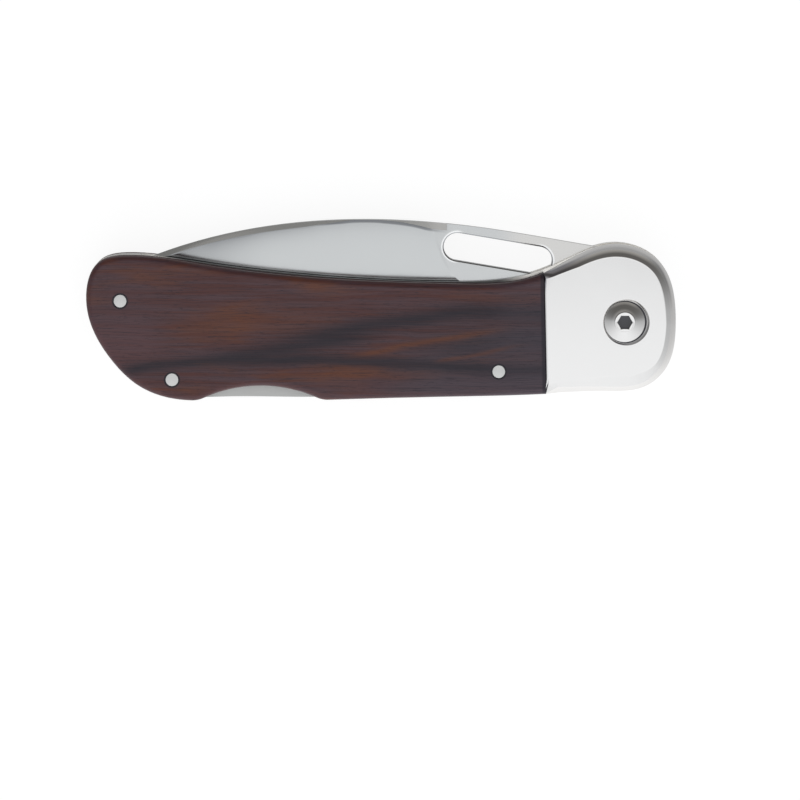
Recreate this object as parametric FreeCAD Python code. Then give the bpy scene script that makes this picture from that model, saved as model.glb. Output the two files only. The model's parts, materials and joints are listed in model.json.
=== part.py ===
import FreeCAD, Part
import math
import os
from FreeCAD import Vector

# A lock-back folding knife, closed and lying on its rear side, in millimetres.
# x runs from the butt to the nose, y from the back to the side that the blade opens on, z up.
# Shapes are drawn round the pivot axis, and moved to the origin under the middle of the knife at the end.

# Thickness, from the rear face up
cover_thickness = 3.9
liner_thickness = 1.3
blade_thickness = 2.8
washer_thickness = 0.18
side_play = 0.02
bar_side_play = 0.05

# Fits
pin_fit = 0.02
running_fit = 0.03
seat_gap = 0.04

# Angle that the blade opens through, in degrees
blade_travel = 172.0

# Tang and lock, drawn with the blade open
tang_radius = 9.0
tooth_height = 0.9
tooth_flat = 0.4
lock_nose_flat = 0.7
lock_nose_width = 1.6
lock_front_back = 0.6
hook_relief = 0.25
hook_recess_length = 3.2

# Blade, closed: distances back from the pivot axis and heights above it
# Spine stations: share of the way from the point to the spine's end, share of the spine's height
# Belly stations: share of the way from the point to the heel, share of the drop to the belly's lowest
# Plunge stations: share of the plunge line's length behind the heel, share of the spine's height
blade_reach = 90.0
point_height = 11.8
spine_height = 19.0
spine_stations = [(0.1442, 0.8447), (0.2947, 0.9684), (0.4316, 1.0), (0.66, 0.9211), (0.8189, 0.7921)]
spine_end_height = 12.35
spine_end_ahead = 5.0
belly_depth = 3.6
belly_stations = [(0.0309, 0.2727), (0.1074, 0.5584), (0.2416, 0.8117), (0.4295, 0.9545), (0.6443, 1.0),
                  (0.8591, 0.987)]
heel_back = 15.5
heel_height = -3.1
choil_radius = 0.9
kick_back = 12.0
kick_rise = 1.45
edge_thickness = 0.36
edge_apex = 0.1
edge_angle = 15.0
edge_zone = 3.0
grind_shoulder = 1.4
grind_shoulder_least = 0.15
grind_run_out = 12.0
plunge_length = 20.7
plunge_stations = [(1.0, 1.1053), (0.9565, 0.7368), (0.8454, 0.4895), (0.4589, 0.2), (0.0918, -0.1053),
                   (0.0531, -0.3158)]
taper_start_back = 58.0
point_thickness = 1.5
swedge_width = 1.0
swedge_drop = 0.4
swedge_start_back = 51.0
swedge_run_in = 13.0
crest_start_back = 33.5
crest_drop = 0.52
point_hold = 0.55
stock_margin = 1.0
station_count = 14
slot_rear_back = 31.5
slot_rear_height = 13.88
slot_front_back = 16.2
slot_front_height = 11.31
slot_width = 5.2
slot_chamfer_width = 0.25
slot_chamfer_depth = 0.12

# Handle outline, from the back round the nose and over the top edge to the butt
nose_cover = 0.75
nose_drop = 0.4
bolster_round = 10.9
bolster_top = 14.5
shoulder_back = 9.5
shoulder_height = 12.25
shoulder_foot_back = 16.5
shoulder_foot_height = 9.2
waist_back = 32.0
waist_height = 7.35
middle_top_height = 8.3
butt_length = 11.6
butt_rise_inset = 21.5
butt_rise_height = 11.05
butt_top_inset = 8.4
butt_top_height = 12.45
butt_corner_inset = 2.3
butt_corner_height = 11.1
butt_end_height = 4.6
butt_slope_inset = 4.5
butt_slope_depth = 7.0
butt_heel_inset = 10.2
butt_heel_depth = 12.4
back_turn_inset = 16.5
back_turn_depth = 14.65
back_start_inset = 26.0
back_depth = 14.86
seam_depth = 13.75
under_pivot_back = 3.5
bar_front_depth = 4.3
chin_ahead = 4.2
chin_depth = 12.35
jaw_ahead = 7.75
jaw_depth = 9.3

# Bolster and scale, which sit a little below the liners' top edge
cover_drop = 0.2
cover_foot_drop = 0.5
bolster_back = 15.1
bolster_lean = 1.2
bevel_width = 2.1
bevel_depth = 1.3
bevel_round = 4.0
scale_round = 1.3

# Thumb scallop in the back edge
scallop_inset = 32.9
scallop_radius = 26.0
scallop_depth = 2.7
scallop_blend = 5.0

# Lock bar, its pin and its spring
rocker_back = 23.73
rocker_depth = 9.42
hub_height = 3.1
bar_recess = 0.3
bar_landing_back = 8.0
bar_landing_overrun = 0.9
bar_tail_inset = 19.4
bar_tail_height = 3.95
bar_waist_back = 45.0
bar_waist_height = 5.6
tail_gap = 0.5
spring_thickness = 0.9
spring_root_inset = 11.5
spring_root_depth = 5.2
spring_tip_inset = 40.5
spring_sag = 0.55

# Butt spacer and pins
tip_clearance = 1.4
spacer_shelf_depth = 3.2
spacer_bend_inset = 15.0
spacer_bend_height = -0.8
spacer_inner_height = 6.5
pin_diameter = 2.6
upper_pin_inset = 6.47
upper_pin_height = 3.92
lower_pin_inset = 16.2
lower_pin_depth = 10.95

# Pivot
screw_diameter = 4.0
screw_length = 8.0
screw_head_diameter = 7.6
screw_head_height = 2.2
screw_head_rim = 0.35
screw_head_flat = 3.7
screw_dome_bulge = 0.2
socket_across_flats = 2.5
socket_depth = 1.3
counterbore_room = 0.25
counterbore_depth = 0.8
counterbore_chamfer = 0.22
counterbore_ahead = 0.18
counterbore_down = 0.08
barrel_wall = 0.77
barrel_head_lip = 1.5
barrel_head_thickness = 1.3
barrel_slot_width = 1.0
barrel_slot_depth = 0.7
clamp_gap = 0.8
bushing_wall = 0.68
washer_width = 2.97

# Hidden rivets of the bolsters
rivet_diameter = 2.0
rivet_head_diameter = 3.4
rivet_head_depth = 0.7
rivet_bite = 2.0
rivet_inset = 3.5
rivet_upper_height = 4.6
rivet_lower_depth = 8.6
flush_sink = 0.05

# Levels of the stack
rear_liner_level = cover_thickness
gap_level = rear_liner_level + liner_thickness
gap = blade_thickness + 2 * (washer_thickness + side_play)
front_liner_level = gap_level + gap
front_cover_level = front_liner_level + liner_thickness
top_level = front_cover_level + cover_thickness
middle_level = top_level / 2

# Radii at the pivot, each round the one before
screw_bore = screw_diameter / 2 + running_fit
barrel_radius = screw_bore + barrel_wall
barrel_bore = barrel_radius + pin_fit
barrel_head_radius = barrel_radius + barrel_head_lip
bushing_radius = barrel_bore + bushing_wall
bushing_bore = bushing_radius + running_fit
counterbore_radius = screw_head_diameter / 2 + counterbore_room

# Levels at the pivot
screw_seat = top_level - counterbore_depth
barrel_end = screw_seat - clamp_gap
barrel_head_top = flush_sink + barrel_head_thickness

# Places that follow from the sizes
nose_reach = tang_radius + nose_cover
kick_height = -tang_radius + kick_rise
ramp_start = -(heel_back + plunge_length + grind_run_out)
butt_end = -(blade_reach + butt_length)
pivot = Vector(0, 0, 0)
rocker = Vector(-rocker_back, -rocker_depth, 0)
upper_pin = Vector(butt_end + upper_pin_inset, upper_pin_height, 0)
lower_pin = Vector(butt_end + lower_pin_inset, -lower_pin_depth, 0)
scallop_x = butt_end + scallop_inset
tail_x = butt_end + bar_tail_inset
far = 4 * blade_reach
nearly = 1e-4
z_axis = Vector(0, 0, 1)


def at(x, y, z=0.0):
    return Vector(x, y, z)


def line(start, end):
    return Part.LineSegment(start, end).toShape()


def curve(points, closed=False):
    spline = Part.BSplineCurve()
    spline.interpolate(points, PeriodicFlag=closed)
    return spline.toShape()


def prism(edges, level, height):
    shape = Part.Face(Part.Wire(edges)).extrude(at(0, 0, height))
    shape.translate(at(0, 0, level))
    return shape


def polygon(corners):
    loop = corners + [corners[0]]
    return [line(start, end) for start, end in zip(loop, loop[1:])]


def polygon_prism(corners, level, height):
    return prism(polygon(corners), level, height)


def rod(radius, level, height, centre=pivot):
    return Part.makeCylinder(radius, height, at(centre.x, centre.y, level), z_axis)


def mirrored(shape):
    return shape.mirror(at(0, 0, middle_level), z_axis)


def edges_where(shape, test):
    return [edge for edge in shape.Edges if test(edge)]


# The handle's outline, one closed smooth curve; drop lowers the top edge, foot_drop the shoulder's foot,
# and inset draws it smaller all round
def outline_points(drop=0.0, foot_drop=0.0):
    arc = at(nose_reach - bolster_round, bolster_top - bolster_round)
    slant = bolster_round * math.sqrt(0.5)
    middle_x = (butt_end + butt_rise_inset - waist_back) / 2
    middle_back = at(middle_x, -back_depth)
    seam_back = at(-bolster_back, -seam_depth)
    return [
        middle_back,
        (middle_back + seam_back) * 0.5,
        seam_back,
        at(-under_pivot_back, -tang_radius - bar_front_depth),
        at(chin_ahead, -chin_depth),
        at(jaw_ahead, -jaw_depth),
        at(nose_reach, -nose_drop),
        at(arc.x + slant, arc.y + slant),
        at(arc.x, bolster_top),
        at(-shoulder_back, shoulder_height),
        at(-shoulder_foot_back, shoulder_foot_height - foot_drop),
        at(-waist_back, waist_height - drop),
        at(middle_x, middle_top_height - drop),
        at(butt_end + butt_rise_inset, butt_rise_height - drop),
        at(butt_end + butt_top_inset, butt_top_height),
        at(butt_end + butt_corner_inset, butt_corner_height),
        at(butt_end, butt_end_height),
        at(butt_end + butt_slope_inset, -butt_slope_depth),
        at(butt_end + butt_heel_inset, -butt_heel_depth),
        at(butt_end + back_turn_inset, -back_turn_depth),
        at(butt_end + back_start_inset, -back_depth),
    ]


def outline_edge(inset=0.0):
    edge = curve(outline_points(), True)
    if inset == 0.0:
        return edge
    inner = []
    for point in outline_points():
        inner.append(inward(edge, point, inset))
    return curve(inner, True)


def inward(edge, point, distance):
    tangent = edge.tangentAt(edge.Curve.parameter(point))
    return point + at(-tangent.y, tangent.x) * distance


def outline_plate(level, height, inset=0.0):
    return prism([outline_edge(inset)], level, height)


# A block ahead of the seam between bolster and scale
def ahead_of_seam(level, height):
    lean = math.tan(math.radians(bolster_lean)) * far
    corners = [
        at(-bolster_back + lean, -far),
        at(far, -far),
        at(far, far),
        at(-bolster_back - lean, far),
    ]
    return polygon_prism(corners, level, height)


def scallop_cut(shape):
    centre = at(scallop_x, -back_depth + scallop_depth - scallop_radius)
    bounds = shape.BoundBox
    shape = shape.cut(rod(scallop_radius, bounds.ZMin, bounds.ZLength, centre))
    lips = edges_where(shape, lambda edge: is_scallop_lip(edge, centre, bounds.ZLength))
    return shape.makeFillet(scallop_blend, lips)


def is_scallop_lip(edge, centre, height):
    first = edge.Vertexes[0].Point
    last = edge.Vertexes[-1].Point
    upright = abs(abs(last.z - first.z) - height) < nearly
    reach = math.hypot(first.x - centre.x, first.y - centre.y)
    return upright and abs(reach - scallop_radius) < nearly


# An edge of the outer face that runs along the outline, not along the seam
def is_rim(edge, level):
    flat = all(abs(vertex.Z - level) < nearly for vertex in edge.Vertexes)
    straight = edge.Curve.TypeId == "Part::GeomLine"
    return flat and not straight


def rim_edges(shape, level):
    return edges_where(shape, lambda edge: is_rim(edge, level))


def drilled(shape, centres, radius):
    for centre in centres:
        shape = shape.cut(rod(radius, -far, 2 * far, centre))
    return shape


def pin_holes(shape):
    return drilled(shape, [upper_pin, lower_pin, rocker], pin_diameter / 2 + pin_fit)


# Covers are drawn on the front side, with the outer face on top
def cover_plate():
    edge = curve(outline_points(cover_drop, cover_foot_drop), True)
    return prism([edge], front_cover_level, cover_thickness)


def scale_blank():
    plate = cover_plate().cut(ahead_of_seam(front_cover_level, cover_thickness))
    plate = scallop_cut(plate)
    return plate.makeFillet(scale_round, rim_edges(plate, top_level))


def bolster_blank():
    plate = cover_plate().common(ahead_of_seam(front_cover_level, cover_thickness))
    plate = plate.makeChamfer(bevel_depth, bevel_width, rim_edges(plate, top_level))
    shoulder = rim_edges(plate, top_level - bevel_depth)
    return plate.makeFillet(bevel_round, shoulder)


def rivet_centres():
    x = -bolster_back + rivet_inset
    return [at(x, rivet_upper_height), at(x, -rivet_lower_depth)]


def rivet_room(shape):
    hole = rivet_diameter / 2 + pin_fit
    for centre in rivet_centres():
        shape = shape.cut(rod(hole, front_liner_level, liner_thickness + rivet_bite + pin_fit, centre))
    return shape


def front_scale():
    return pin_holes(scale_blank())


def rear_scale():
    return pin_holes(mirrored(scale_blank()))


def front_bolster():
    shape = drilled(rivet_room(bolster_blank()), [pivot], screw_bore)
    shape = shape.cut(rod(barrel_bore, front_cover_level, barrel_end - front_cover_level + pin_fit))
    centre = at(counterbore_ahead, -counterbore_down)
    shape = shape.cut(rod(counterbore_radius, screw_seat, counterbore_depth, centre))
    place = at(centre.x, centre.y, top_level - counterbore_chamfer)
    mouth = counterbore_radius + counterbore_chamfer
    return shape.cut(Part.makeCone(counterbore_radius, mouth, counterbore_chamfer, place, z_axis))


def rear_bolster():
    shape = drilled(mirrored(rivet_room(bolster_blank())), [pivot], barrel_bore)
    return shape.cut(rod(barrel_head_radius + pin_fit, 0, barrel_head_top))


def liner_blank():
    plate = scallop_cut(outline_plate(front_liner_level, liner_thickness))
    plate = pin_holes(drilled(plate, [pivot], barrel_bore))
    for centre in rivet_centres():
        plate = plate.cut(rod(rivet_head_diameter / 2 + pin_fit, front_liner_level, flush_sink, centre))
        plate = plate.cut(rivet_head(centre, pin_fit))
    return rivet_room(plate)


def rivet_head(centre, swell):
    place = at(centre.x, centre.y, front_liner_level + flush_sink)
    wide = rivet_head_diameter / 2 + swell
    return Part.makeCone(wide, rivet_diameter / 2 + swell, rivet_head_depth, place, z_axis)


def front_liner():
    return liner_blank()


def rear_liner():
    return mirrored(liner_blank())


def rivets():
    solids = []
    for centre in rivet_centres():
        level = front_liner_level + flush_sink
        shank = rod(rivet_diameter / 2, level, liner_thickness + rivet_bite - flush_sink, centre)
        solids.append(rivet_head(centre, 0.0).fuse(shank).removeSplitter())
    return Part.makeCompound(solids)


# The lock in the open knife, round the pivot: nose of the bar, tooth and stop of the tang
def below(radius, x):
    return at(x, -math.sqrt(radius**2 - x**2))


def stop_x():
    return -lock_front_back


def hook_x():
    return -lock_front_back - lock_nose_width


def bar_back_line():
    return outline_plate(gap_level + bar_side_play, gap - 2 * bar_side_play, bar_recess)


def bar_inner(x):
    tail_top = -back_depth + bar_recess + bar_tail_height
    waist_top = -back_depth + bar_recess + bar_waist_height
    share = (x - tail_x) / (-bar_waist_back - tail_x)
    return tail_top + share * (waist_top - tail_top)


def lock_bar():
    tip = tang_radius + seat_gap
    ramp = below(tip, hook_x() + lock_nose_flat)
    floor = below(tang_radius + tooth_height + hook_relief, hook_x())
    landing = kick_height - seat_gap
    corners = [
        at(stop_x(), -2 * back_depth),
        at(stop_x(), ramp.y - (stop_x() - ramp.x)),
        ramp,
        below(tip, hook_x()),
        floor,
        at(hook_x() - hook_recess_length, floor.y),
        at(-bar_landing_back, landing),
        at(-kick_back - bar_landing_overrun, landing),
        at(rocker.x, rocker.y + hub_height),
        at(-bar_waist_back, bar_inner(-bar_waist_back)),
        at(tail_x, bar_inner(tail_x)),
        at(tail_x, -2 * back_depth),
    ]
    level = gap_level + bar_side_play
    height = gap - 2 * bar_side_play
    shape = polygon_prism(corners, level, height).common(bar_back_line())
    return drilled(shape, [rocker], pin_diameter / 2 + running_fit)


def closed(shape):
    shape.rotate(pivot, z_axis, blade_travel)
    return shape


def tang_tooth(level):
    face_x = hook_x() - seat_gap
    outer = tang_radius + tooth_height
    crest = below(outer, face_x)
    crest_end = below(outer, face_x - tooth_flat)
    toe = below(tang_radius, crest_end.x - tooth_height)
    corners = [at(face_x, 0), crest, crest_end, toe, at(toe.x, 0)]
    return closed(polygon_prism(corners, level, blade_thickness))


def stop_cut(level):
    face_x = stop_x() + seat_gap
    corners = [at(face_x, 0), at(face_x, -far), at(-far, -far), at(-far, 0)]
    return closed(polygon_prism(corners, level, blade_thickness))


def spine_curve():
    points = [at(-blade_reach, point_height)]
    for way, rise in spine_stations:
        points.append(at(-blade_reach + way * (blade_reach + spine_end_ahead), rise * spine_height))
    points.append(at(spine_end_ahead, spine_end_height))
    return curve(points)


def belly_curve():
    points = [at(-blade_reach, point_height)]
    for way, drop in belly_stations:
        height = point_height - drop * (point_height + belly_depth)
        points.append(at(-blade_reach + way * (blade_reach - heel_back), height))
    points.append(at(-heel_back, heel_height))
    return curve(points)


def height_on(edge, x):
    upright = line(at(x, -far), at(x, far))
    return edge.distToShape(upright)[1][0][0].y


def blade_level():
    return gap_level + washer_thickness + side_play


def blade_blank():
    level = blade_level()
    kick = at(-kick_back, kick_height)
    edges = [
        spine_curve(),
        line(at(spine_end_ahead, spine_end_height), pivot),
        line(pivot, at(0, kick_height)),
        line(at(0, kick_height), kick),
        line(kick, at(-heel_back + choil_radius, heel_height)),
        line(at(-heel_back + choil_radius, heel_height), at(-heel_back, heel_height)),
        belly_curve(),
    ]
    plate = prism(edges, level, blade_thickness).cut(stop_cut(level))
    plate = plate.fuse([rod(tang_radius, level, blade_thickness), tang_tooth(level)]).removeSplitter()
    choil = at(-heel_back + choil_radius, heel_height)
    return plate.cut(rod(choil_radius, level, blade_thickness, choil))


# Stations along the blade, from ahead of the heel to past the point
def blade_stations(first):
    return stations(first, -blade_reach - stock_margin)


def stations(first, last):
    step = (last - first) / station_count
    return [first + step * number for number in range(station_count + 1)]


def half_thickness(x):
    share = max(0.0, (-taper_start_back - x) / (blade_reach - taper_start_back))
    return (blade_thickness - share * (blade_thickness - point_thickness)) / 2


def shoulder_drop(x):
    share = min(1.0, max(0.0, (x - ramp_start) / grind_run_out))
    return grind_shoulder_least + share**2 * (grind_shoulder - grind_shoulder_least) + swedge_reach(x)


def swedge_reach(x):
    share = min(1.0, max(0.0, (-swedge_start_back - x) / swedge_run_in))
    return swedge_width * math.sin(share * math.pi / 2)


def blade_face():
    return middle_level + blade_thickness / 2


# Each cut takes stock off the upper side, between a slanted face and a level above the blade
def stock(sections):
    return Part.makeLoft([Part.Wire(polygon(corners)) for corners in sections], True, False)


def slanted_section(x, inner, outer):
    top = blade_face() + stock_margin
    inner_point = at(x, inner[0], middle_level + inner[1])
    outer_point = at(x, outer[0], middle_level + outer[1])
    return [inner_point, outer_point, at(x, outer[0], top), at(x, inner[0], top)]


# Height of a curve of the blade, held level past the point and ahead of the heel
def held_height(edge, x):
    return height_on(edge, min(max(x, -blade_reach + point_hold), -heel_back))


def main_grind(spine, belly):
    sections = []
    for x in blade_stations(-heel_back + stock_margin):
        upper = held_height(spine, x) - shoulder_drop(x)
        lower = held_height(belly, x)
        edge = edge_thickness / 2
        slope = (half_thickness(x) - edge) / max(upper - lower, stock_margin)
        outer = (lower - stock_margin, edge - slope * stock_margin)
        sections.append(slanted_section(x, (upper, half_thickness(x)), outer))
    return stock(sections).cut(ricasso())


# The unground part of the blade, ahead of the plunge line
def ricasso():
    boundary = [at(-heel_back - way * plunge_length, rise * spine_height) for way, rise in plunge_stations]
    ahead = at(far, boundary[0].y)
    corner = at(far, boundary[-1].y)
    edges = [curve(boundary), line(boundary[-1], corner), line(corner, ahead), line(ahead, boundary[0])]
    return prism(edges, gap_level, 2 * gap)


def edge_grind(belly):
    slope = math.tan(math.radians(edge_angle))
    sections = []
    for x in blade_stations(-heel_back):
        lower = held_height(belly, x)
        inner = (lower + edge_zone, edge_apex / 2 + slope * edge_zone)
        outer = (lower - stock_margin, edge_apex / 2 - slope * stock_margin)
        sections.append(slanted_section(x, inner, outer))
    return stock(sections).cut(ricasso())


def swedge_grind(spine):
    slope = swedge_drop / swedge_width
    sections = []
    for x in blade_stations(-swedge_start_back):
        upper = held_height(spine, x)
        reach = swedge_reach(x)
        inner = (upper - reach, half_thickness(x))
        outer = (upper + stock_margin, half_thickness(x) - slope * (reach + stock_margin))
        sections.append(slanted_section(x, inner, outer))
    return stock(sections)


# The crest falls away to the spine from a narrow land beside the grind
def crest_grind(spine):
    slope = crest_drop / grind_shoulder
    sections = []
    for x in stations(-crest_start_back, ramp_start):
        upper = held_height(spine, x)
        reach = shoulder_drop(x) - grind_shoulder_least
        inner = (upper - reach, half_thickness(x))
        outer = (upper + stock_margin, half_thickness(x) - slope * (reach + stock_margin))
        sections.append(slanted_section(x, inner, outer))
    return stock(sections)


def distal_taper():
    past = -blade_reach - stock_margin
    corners = [
        at(-taper_start_back, -far, middle_level + half_thickness(-taper_start_back)),
        at(past, -far, middle_level + half_thickness(past)),
        at(past, -far, blade_face() + stock_margin),
        at(-taper_start_back, -far, blade_face() + stock_margin),
    ]
    return Part.Face(Part.Wire(polygon(corners))).extrude(at(0, 2 * far, 0))


def slot_wire(radius, level):
    rear = at(-slot_rear_back, slot_rear_height, level)
    front = at(-slot_front_back, slot_front_height, level)
    along = (front - rear).normalize()
    across = at(-along.y, along.x) * radius
    along = along * radius
    return Part.Wire([
        Part.Arc(rear + across, rear - along, rear - across).toShape(),
        line(rear - across, front - across),
        Part.Arc(front - across, front + along, front + across).toShape(),
        line(front + across, rear + across),
    ])


def opening_slot():
    radius = slot_width / 2
    through = Part.Face(slot_wire(radius, gap_level)).extrude(at(0, 0, gap))
    rim = slot_wire(radius + slot_chamfer_width, blade_face())
    root = slot_wire(radius, blade_face() - slot_chamfer_depth)
    flare = Part.makeLoft([root, rim], True, True)
    return through.fuse([flare, mirrored(flare)])


def blade():
    shape = blade_blank()
    spine = spine_curve()
    belly = belly_curve()
    grinds = [main_grind(spine, belly), crest_grind(spine), swedge_grind(spine), edge_grind(belly)]
    for cut in [distal_taper()] + grinds:
        shape = shape.cut(cut).cut(mirrored(cut))
    shape = shape.cut(opening_slot())
    return drilled(shape, [pivot], bushing_bore)


# The leaf spring stands in a slot of the butt spacer and bears on the lock bar's inner edge
def leaf(swell, level, height):
    tip_x = butt_end + spring_tip_inset
    root = at(butt_end + spring_root_inset, -spring_root_depth)
    tip = at(tip_x, bar_inner(tip_x) + seat_gap)
    middle = (root + tip) * 0.5 + at(0, spring_sag)
    rise = at(0, spring_thickness + swell)
    drop = at(0, -swell)
    edges = [
        Part.Arc(root + drop, middle + drop, tip + drop).toShape(),
        line(tip + drop, tip + rise),
        Part.Arc(tip + rise, middle + rise, root + rise).toShape(),
        line(root + rise, root + drop),
    ]
    return prism(edges, level, height)


def lock_spring():
    return leaf(0.0, gap_level + bar_side_play, gap - 2 * bar_side_play)


def butt_spacer():
    face_x = tail_x - tail_gap
    inner_x = -blade_reach - tip_clearance
    corners = [
        at(face_x, -2 * back_depth),
        at(face_x, -spacer_shelf_depth),
        at(butt_end + spacer_bend_inset, spacer_bend_height),
        at(inner_x, spacer_inner_height),
        at(inner_x, 2 * back_depth),
        at(butt_end - back_depth, 2 * back_depth),
        at(butt_end - back_depth, -2 * back_depth),
    ]
    shape = polygon_prism(corners, gap_level, gap).common(outline_plate(gap_level, gap))
    shape = shape.cut(leaf(pin_fit, gap_level, gap))
    return drilled(shape, [upper_pin, lower_pin], pin_diameter / 2 + pin_fit)


def pin(centre):
    return rod(pin_diameter / 2, 0, top_level, centre)


def screw_head():
    foot = at(screw_head_diameter / 2, 0, screw_seat)
    rim = foot + at(0, 0, screw_head_rim)
    crown = at(screw_head_flat / 2, 0, screw_seat + screw_head_height)
    top = at(0, 0, crown.z)
    bottom = at(0, 0, screw_seat)
    bulge = (rim + crown) * 0.5 + at(1, 0, 1).normalize() * screw_dome_bulge
    dome = Part.Arc(rim, bulge, crown).toShape()
    edges = [line(bottom, foot), line(foot, rim), dome, line(crown, top), line(top, bottom)]
    return Part.Face(Part.Wire(edges)).revolve(pivot, z_axis, 360)


def hex_socket():
    corner = socket_across_flats / math.sqrt(3)
    corners = []
    for step in range(6):
        turn = math.radians(60 * step)
        corners.append(at(corner * math.cos(turn), corner * math.sin(turn)))
    return polygon_prism(corners, screw_seat + screw_head_height - socket_depth, socket_depth)


def pivot_screw():
    shank = rod(screw_diameter / 2, screw_seat - screw_length, screw_length)
    return screw_head().fuse(shank).removeSplitter().cut(hex_socket())


def pivot_barrel():
    head = rod(barrel_head_radius, flush_sink, barrel_head_thickness)
    sleeve = rod(barrel_radius, flush_sink, barrel_end - flush_sink)
    floor = screw_seat - screw_length - clamp_gap
    shape = head.fuse(sleeve).removeSplitter().cut(rod(screw_bore, floor, barrel_end - floor))
    half = barrel_slot_width / 2
    corners = [at(-far, -half), at(far, -half), at(far, half), at(-far, half)]
    return shape.cut(polygon_prism(corners, flush_sink, barrel_slot_depth))


def ring(inner_radius, outer_radius, level, height):
    return rod(outer_radius, level, height).cut(rod(inner_radius, level, height))


def pivot_bushing():
    return ring(barrel_bore, bushing_radius, gap_level, gap)


def washer(level):
    return ring(bushing_bore, bushing_bore + washer_width, level, washer_thickness)


nodes = {
    "front_scale": front_scale(),
    "rear_scale": rear_scale(),
    "front_bolster": front_bolster(),
    "rear_bolster": rear_bolster(),
    "front_liner": front_liner(),
    "rear_liner": rear_liner(),
    "front_bolster_rivets": rivets(),
    "rear_bolster_rivets": mirrored(rivets()),
    "blade": blade(),
    "pivot_screw": pivot_screw(),
    "pivot_barrel": pivot_barrel(),
    "pivot_bushing": pivot_bushing(),
    "front_washer": washer(front_liner_level - washer_thickness),
    "rear_washer": washer(gap_level),
    "lock_bar": lock_bar(),
    "lock_bar_pin": pin(rocker),
    "lock_spring": lock_spring(),
    "butt_spacer": butt_spacer(),
    "upper_butt_pin": pin(upper_pin),
    "lower_butt_pin": pin(lower_pin),
}

# The origin is under the middle of the closed knife
bounds = FreeCAD.BoundBox()
for shape in nodes.values():
    bounds.add(shape.optimalBoundingBox())
to_origin = at(-bounds.Center.x, -bounds.Center.y)

os.makedirs("parts", exist_ok=True)
for name, shape in nodes.items():
    shape.translate(to_origin)
    shape.exportStep("parts/" + name + ".step")
    print(name, shape.isValid(), "solids", len(shape.Solids), "volume", round(shape.Volume, 2))
print("size", bounds.XLength, bounds.YLength, bounds.ZLength)
print("pivot", to_origin.x, to_origin.y)
print("lock bar pin", rocker.x + to_origin.x, rocker.y + to_origin.y)
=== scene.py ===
import json
import math

import bmesh
import bpy
import numpy as np
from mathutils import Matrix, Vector


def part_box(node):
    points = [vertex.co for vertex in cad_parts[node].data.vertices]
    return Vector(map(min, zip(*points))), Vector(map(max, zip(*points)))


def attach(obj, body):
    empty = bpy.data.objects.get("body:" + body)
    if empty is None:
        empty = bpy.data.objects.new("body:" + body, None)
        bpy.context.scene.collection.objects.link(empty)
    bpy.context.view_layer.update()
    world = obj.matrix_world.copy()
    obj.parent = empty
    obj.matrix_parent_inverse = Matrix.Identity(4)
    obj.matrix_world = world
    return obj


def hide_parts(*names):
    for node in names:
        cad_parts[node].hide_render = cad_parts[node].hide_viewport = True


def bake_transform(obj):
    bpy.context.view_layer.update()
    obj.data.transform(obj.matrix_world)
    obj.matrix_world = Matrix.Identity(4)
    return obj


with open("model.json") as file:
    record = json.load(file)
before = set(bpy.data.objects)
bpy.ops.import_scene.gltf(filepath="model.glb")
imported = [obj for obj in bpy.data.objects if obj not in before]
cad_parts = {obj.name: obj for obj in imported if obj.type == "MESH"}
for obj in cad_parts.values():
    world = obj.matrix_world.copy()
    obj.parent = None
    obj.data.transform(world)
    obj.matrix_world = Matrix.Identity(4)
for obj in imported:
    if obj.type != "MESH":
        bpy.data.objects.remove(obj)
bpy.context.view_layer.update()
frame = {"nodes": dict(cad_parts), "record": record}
print("frame loaded,", len(frame["nodes"]), "nodes")

perMetre = 1000.0  # settings are in millimetres unless they say otherwise
pinNodes = ("upper_butt_pin", "lower_butt_pin", "lock_bar_pin")
seam = dict(back=15.1, lean=math.tan(math.radians(1.2)))  # wood meets bolster: behind the pivot, and its lean


def boxOf(node):
    # a node's middle and its lowest and highest corners
    low, high = (np.array(corner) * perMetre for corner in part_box(node))
    return (low + high) / 2, low, high


# node trees: patterns on the part read Object coordinates, turned into millimetres; the blade's also reads
# the surface's lean

def feed(tree, socket, value):
    # links another socket, or sets a number, a list or a three-part colour
    if isinstance(value, bpy.types.NodeSocket):
        tree.links.new(value, socket)
    elif socket.type == "RGBA":
        socket.default_value = (*value, 1.0)
    else:
        socket.default_value = value


def addNode(tree, kind, inputs=None, **settings):
    node = tree.nodes.new(kind)
    for key, value in settings.items():
        setattr(node, key, value)
    for key, value in (inputs or {}).items():
        feed(tree, node.inputs[key], value)
    return node


def newMaterial(name):
    material = bpy.data.materials.new(name)
    material.use_nodes = True
    tree = material.node_tree
    return material, tree, tree.nodes["Principled BSDF"]


def millimetres(tree, stretch=(1.0, 1.0, 1.0)):
    place = addNode(tree, "ShaderNodeTexCoord").outputs["Object"]
    scale = [perMetre * part for part in stretch]
    return addNode(tree, "ShaderNodeMapping", {"Vector": place, "Scale": scale}).outputs["Vector"]


def parted(tree, vector):
    node = addNode(tree, "ShaderNodeSeparateXYZ", {"Vector": vector})
    return [node.outputs[axis] for axis in "XYZ"]


def opened(material):
    # a finish's tree and shader, and the place along, up and out
    tree = material.node_tree
    return tree, tree.nodes["Principled BSDF"], parted(tree, millimetres(tree))


def noise(tree, vector, scale, detail, roughness=0.5):
    inputs = {"Vector": vector, "Scale": scale, "Detail": detail, "Roughness": roughness}
    return addNode(tree, "ShaderNodeTexNoise", inputs).outputs["Fac"]


def sums(tree, operation, first, second=0.0, third=0.0, clamp=False):
    inputs = {0: first, 1: second, 2: third}
    return addNode(tree, "ShaderNodeMath", inputs, operation=operation, use_clamp=clamp).outputs["Value"]


def times(tree, first, second, clamp=False):
    return sums(tree, "MULTIPLY", first, second, clamp=clamp)


def timesPlus(tree, first, second, third):
    return sums(tree, "MULTIPLY_ADD", first, second, third)


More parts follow.
